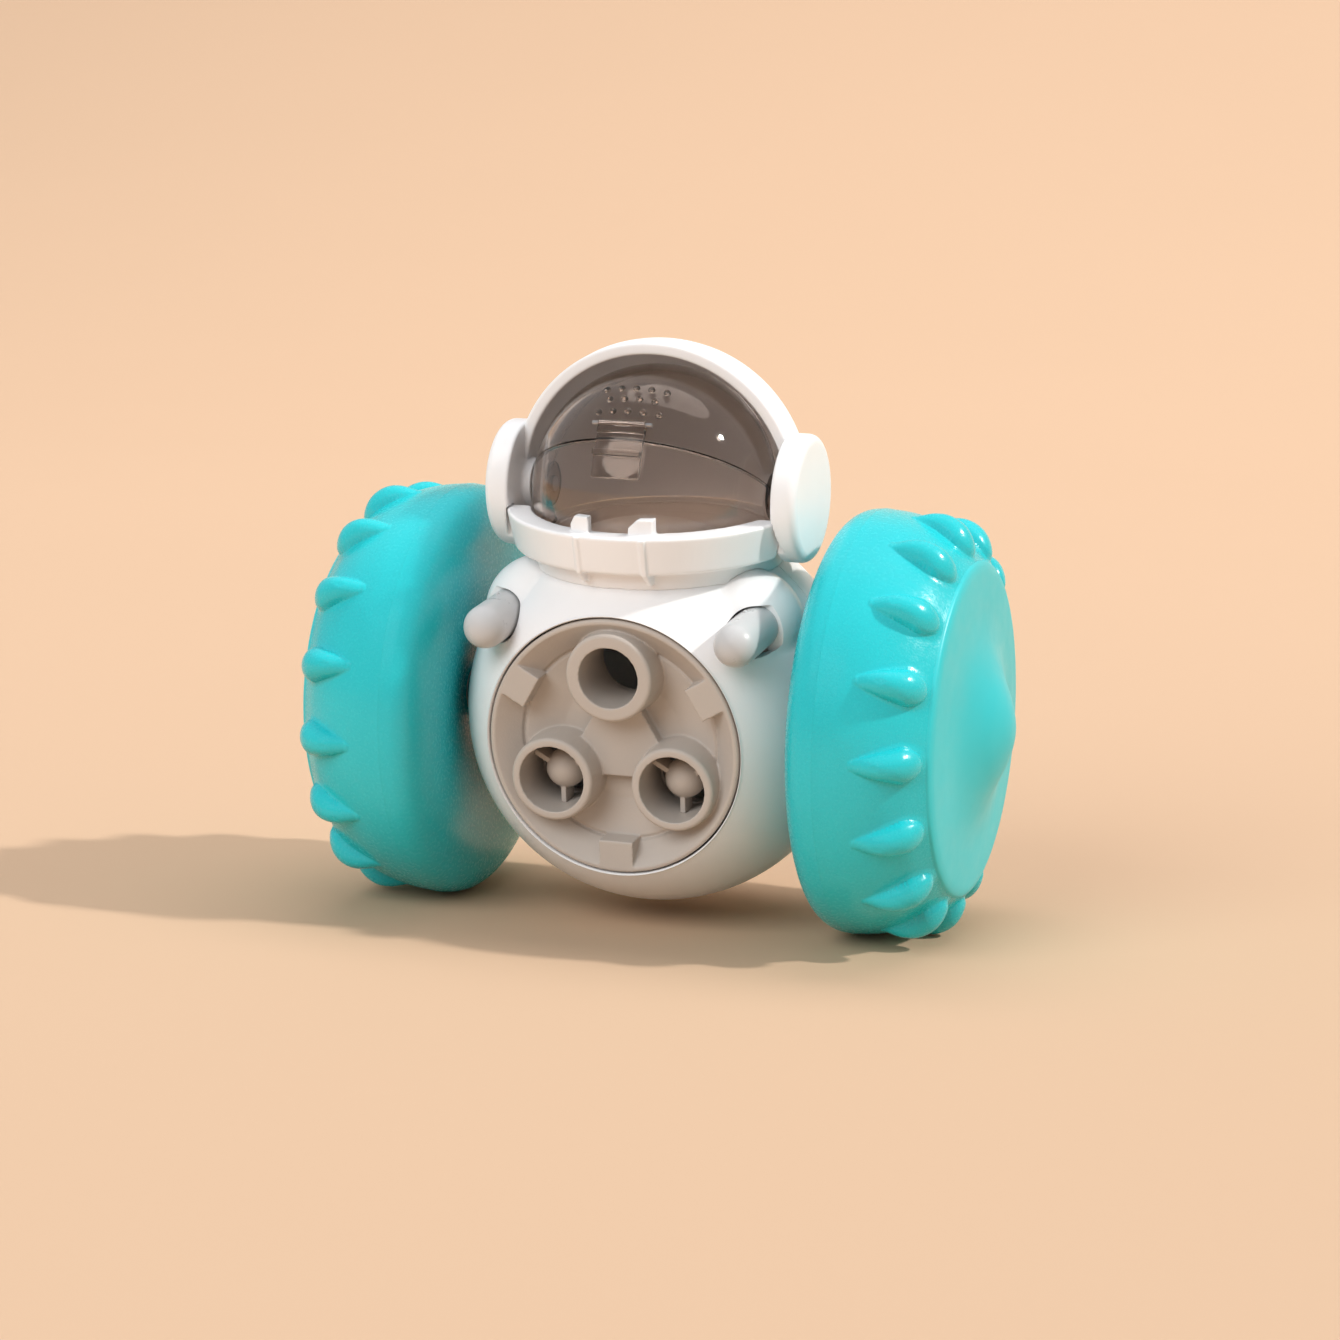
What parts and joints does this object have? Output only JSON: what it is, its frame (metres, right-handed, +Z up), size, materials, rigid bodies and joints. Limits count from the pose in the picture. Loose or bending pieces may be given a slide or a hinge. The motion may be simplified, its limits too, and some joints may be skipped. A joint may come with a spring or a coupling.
{
  "type": "two-wheeled tumbling treat dispenser",
  "caption": "Astronaut-shaped tumbling pet treat dispenser: a ball body with a spout disc and an opening visor, swinging between two knobbly wheels.",
  "frame": {"origin": "on the floor, straight below the middle of the wheel axis", "axes": "+X across the wheels, -Y is the front with the spouts and visor, +Z up"},
  "size_m": [0.1412, 0.082, 0.113],
  "materials": {
    "white_plastic": "satin",
    "teal_plastic": "satin",
    "grey_plastic": "satin",
    "smoked_plastic": "gloss",
    "nylon": "matte",
    "steel": "satin"
  },
  "bodies": {
    "body": {"body_front_shell": "white_plastic", "body_rear_shell": "white_plastic", "neck_collar": "white_plastic", "helmet_shell": "white_plastic", "ear_cap_left": "white_plastic", "ear_cap_right": "white_plastic", "treat_funnel": "white_plastic", "arm_left": "grey_plastic", "arm_right": "grey_plastic", "port_plate": "grey_plastic", "visor_window": "smoked_plastic", "ballast_cover": "nylon", "shell_screws": "steel", "ballast_weight": "steel", "ballast_screws": "steel", "port_plate_screws": "steel", "visor_pivots": "steel", "axle_left": "steel", "axle_right": "steel", "thrust_washers": "steel", "end_washers": "steel", "axle_screws": "steel"},
    "left_wheel": {"tread_shell_left": "teal_plastic", "inner_wheel_shell_left": "teal_plastic", "face_cap_left": "teal_plastic", "hub_bush_left": "nylon"},
    "right_wheel": {"tread_shell_right": "teal_plastic", "inner_wheel_shell_right": "teal_plastic", "face_cap_right": "teal_plastic", "hub_bush_right": "nylon"},
    "disc": {"dispenser_disc": "grey_plastic", "flow_core_left": "grey_plastic", "flow_core_right": "grey_plastic", "disc_washer": "steel", "disc_screw": "steel"},
    "visor": {"visor_flap": "smoked_plastic", "latch_pin": "steel"},
    "latch": {"visor_latch": "smoked_plastic"}
  },
  "joints": [
    {"name": "left_wheel_spin", "type": "hinge", "parent": "body", "child": "left_wheel", "pos_m": [-0.05, 0, 0.041], "axis": [1, 0, 0], "continuous": true},
    {"name": "right_wheel_spin", "type": "hinge", "parent": "body", "child": "right_wheel", "pos_m": [0.05, 0, 0.041], "axis": [1, 0, 0], "continuous": true},
    {"name": "disc_turn", "type": "hinge", "parent": "body", "child": "disc", "pos_m": [0, -0.0247, 0.03713], "axis": [0, -0.988, -0.1547], "range_deg": [0, 60]},
    {"name": "visor_open", "type": "hinge", "parent": "body", "child": "visor", "pos_m": [0, -0.0067, 0.08378], "axis": [-1, 0, 0], "range_deg": [0, 45]},
    {"name": "latch_flex", "type": "hinge", "parent": "visor", "child": "latch", "pos_m": [0, -0.02761, 0.09767], "axis": [-1, 0, 0], "range_deg": [0, 8], "stiffness_Nm_per_rad": 0.1}
  ]
}
